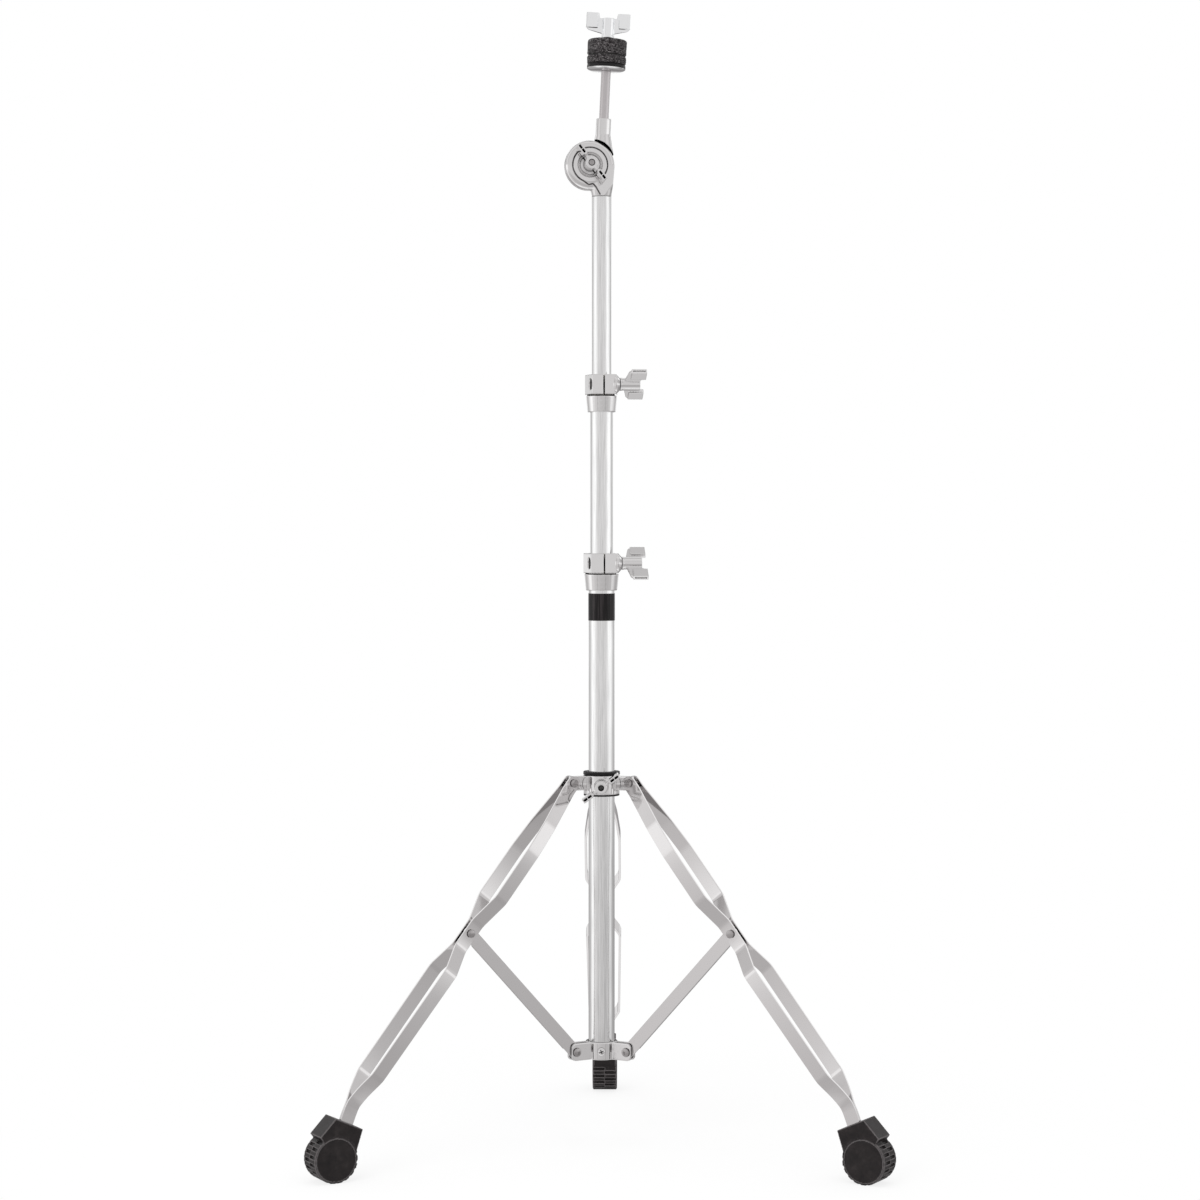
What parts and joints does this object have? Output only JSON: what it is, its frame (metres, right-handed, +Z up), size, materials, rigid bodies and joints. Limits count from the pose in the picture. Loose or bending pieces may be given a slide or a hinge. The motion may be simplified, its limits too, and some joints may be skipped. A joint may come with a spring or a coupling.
{
  "type": "straight cymbal stand",
  "caption": "Straight cymbal stand: telescoping chromed tubes on a folding double-braced tripod, with wing-nut clamps, a tilter and a felted cymbal seat.",
  "frame": {"origin": "on the floor, under the middle of the outline seen from above", "axes": "+Z up along the tubes, -Y to the front between the left and right legs, +X to the right; the rear leg points to +Y"},
  "size_m": [0.5495, 0.4759, 1.1081],
  "materials": {
    "tube_chrome": "polished chrome tube",
    "cast_chrome": "chromed casting",
    "strip_chrome": "chromed strip steel",
    "steel": "bright steel",
    "black_film": "glossy black film",
    "black_nylon": "black moulded nylon",
    "pale_nylon": "pale moulded nylon",
    "rubber": "brown-black rubber",
    "felt": "charcoal wool felt"
  },
  "bodies": {
    "base": {"base_tube": "tube_chrome", "tube_band": "black_film", "lower_clamp": "cast_chrome", "lower_clamp_bolt": "steel", "spreader_bracket": "cast_chrome", "bracket_screw": "steel", "bracket_rivet_left": "steel", "bracket_rivet_right": "steel", "bracket_rivet_rear": "steel"},
    "collar": {"leg_collar": "cast_chrome", "collar_bushing": "black_nylon", "collar_rivet_left": "steel", "collar_rivet_right": "steel", "collar_rivet_rear": "steel"},
    "collar_wing_bolt": {"collar_wing_bolt": "cast_chrome"},
    "left_leg": {"left_leg_front_strip": "strip_chrome", "left_leg_back_strip": "strip_chrome", "left_leg_front_rivet": "steel", "left_leg_back_rivet": "steel", "left_foot": "rubber"},
    "right_leg": {"right_leg_back_strip": "strip_chrome", "right_leg_front_strip": "strip_chrome", "right_leg_back_rivet": "steel", "right_leg_front_rivet": "steel", "right_foot": "rubber"},
    "rear_leg": {"rear_leg_left_strip": "strip_chrome", "rear_leg_right_strip": "strip_chrome", "rear_leg_left_rivet": "steel", "rear_leg_right_rivet": "steel", "rear_foot": "rubber"},
    "left_brace": {"left_brace": "strip_chrome"},
    "right_brace": {"right_brace": "strip_chrome"},
    "rear_brace": {"rear_brace": "strip_chrome"},
    "lower_clamp_wing_nut": {"lower_clamp_wing_nut": "cast_chrome"},
    "lower_swivel": {"lower_clamp_bushing": "pale_nylon"},
    "middle_stage": {"middle_tube": "tube_chrome", "middle_tube_glide": "pale_nylon", "upper_clamp": "cast_chrome", "upper_clamp_bolt": "steel"},
    "upper_clamp_wing_nut": {"upper_clamp_wing_nut": "cast_chrome"},
    "upper_swivel": {"upper_clamp_bushing": "pale_nylon"},
    "top_stage": {"top_tube": "tube_chrome", "top_tube_glide": "pale_nylon", "tilter_base_pin": "steel", "tilter_base": "cast_chrome", "tilter_bolt": "steel", "tilter_brake_pad": "black_nylon"},
    "tilter_wing_nut": {"tilter_wing_nut": "cast_chrome"},
    "cymbal_arm": {"tilter_head": "cast_chrome", "cymbal_rod": "tube_chrome", "cup_washer": "tube_chrome", "felt_seat": "black_nylon", "lower_felt": "felt", "cymbal_sleeve": "black_nylon"},
    "upper_felt": {"upper_felt": "felt", "nut_washer": "steel"},
    "cymbal_wing_nut": {"cymbal_wing_nut": "cast_chrome"}
  },
  "joints": [
    {"name": "collar_slide", "type": "slide", "parent": "base", "child": "collar", "axis": [0, 0, 1], "range_m": [0, 0.0837]},
    {"name": "collar_wing_bolt_turn", "type": "hinge", "parent": "collar", "child": "collar_wing_bolt", "pos_m": [0, -0.09365, 0.3557], "axis": [0, -1, 0], "range_deg": [0, 360]},
    {"name": "left_leg_fold", "type": "hinge", "parent": "collar", "child": "left_leg", "pos_m": [-0.02918, -0.0887, 0.3586], "axis": [0.5, -0.866, 0], "range_deg": [0, 36.84]},
    {"name": "left_brace_fold", "type": "hinge", "parent": "base", "child": "left_brace", "pos_m": [-0.02633, -0.08705, 0.097], "axis": [-0.5, 0.866, 0], "range_deg": [0, 39.6]},
    {"name": "right_leg_fold", "type": "hinge", "parent": "collar", "child": "right_leg", "pos_m": [0.02918, -0.0887, 0.3586], "axis": [0.5, 0.866, 0], "range_deg": [0, 36.84]},
    {"name": "right_brace_fold", "type": "hinge", "parent": "base", "child": "right_brace", "pos_m": [0.02633, -0.08705, 0.097], "axis": [-0.5, -0.866, 0], "range_deg": [0, 39.6]},
    {"name": "rear_leg_fold", "type": "hinge", "parent": "collar", "child": "rear_leg", "pos_m": [0, -0.03815, 0.3586], "axis": [-1, 0, 0], "range_deg": [0, 36.84]},
    {"name": "rear_brace_fold", "type": "hinge", "parent": "base", "child": "rear_brace", "pos_m": [0, -0.04145, 0.097], "axis": [1, 0, 0], "range_deg": [0, 39.6]},
    {"name": "lower_clamp_wing_nut_turn", "type": "hinge", "parent": "base", "child": "lower_clamp_wing_nut", "pos_m": [0.01963, -0.08611, 0.57165], "axis": [0.9914, 0.1305, 0], "range_deg": [0, 360]},
    {"name": "middle_tube_swivel", "type": "hinge", "parent": "base", "child": "lower_swivel", "pos_m": [0, -0.07185, 0.561], "axis": [0, 0, 1], "continuous": true},
    {"name": "middle_tube_slide", "type": "slide", "parent": "lower_swivel", "child": "middle_stage", "axis": [0, 0, 1], "range_m": [-0.128, 0.21]},
    {"name": "upper_clamp_wing_nut_turn", "type": "hinge", "parent": "middle_stage", "child": "upper_clamp_wing_nut", "pos_m": [0.01783, -0.08473, 0.74535], "axis": [0.9914, 0.1305, 0], "range_deg": [0, 360]},
    {"name": "top_tube_swivel", "type": "hinge", "parent": "middle_stage", "child": "upper_swivel", "pos_m": [0, -0.07185, 0.7347], "axis": [0, 0, 1], "continuous": true},
    {"name": "top_tube_slide", "type": "slide", "parent": "upper_swivel", "child": "top_stage", "axis": [0, 0, 1], "range_m": [-0.165, 0.15]},
    {"name": "tilter_wing_nut_turn", "type": "hinge", "parent": "top_stage", "child": "tilter_wing_nut", "pos_m": [-0.01097, -0.08225, 0.9587], "axis": [0.1045, -0.9945, 0], "range_deg": [0, 360]},
    {"name": "tilt", "type": "hinge", "parent": "top_stage", "child": "cymbal_arm", "pos_m": [-0.01193, -0.07311, 0.9587], "axis": [0.1045, -0.9945, 0], "range_deg": [-35, 110]},
    {"name": "upper_felt_lift", "type": "slide", "parent": "cymbal_arm", "child": "upper_felt", "axis": [0.0468, 0.0049, 0.9989], "range_m": [0, 0.01]},
    {"name": "cymbal_wing_nut_turn", "type": "hinge", "parent": "upper_felt", "child": "cymbal_wing_nut", "pos_m": [0.00583, -0.07124, 1.0828], "axis": [0.0468, 0.0049, 0.9989], "range_deg": [0, 2880]}
  ],
  "couplings": [
    {"joint": "left_leg_fold", "follows": "collar_slide", "rad_per_m": 7.6819},
    {"joint": "left_brace_fold", "follows": "collar_slide", "rad_per_m": 8.2574},
    {"joint": "right_leg_fold", "follows": "collar_slide", "rad_per_m": 7.6819},
    {"joint": "right_brace_fold", "follows": "collar_slide", "rad_per_m": 8.2574},
    {"joint": "rear_leg_fold", "follows": "collar_slide", "rad_per_m": 7.6819},
    {"joint": "rear_brace_fold", "follows": "collar_slide", "rad_per_m": 8.2574},
    {"joint": "upper_felt_lift", "follows": "cymbal_wing_nut_turn", "m_per_rad": 0.0001989}
  ]
}
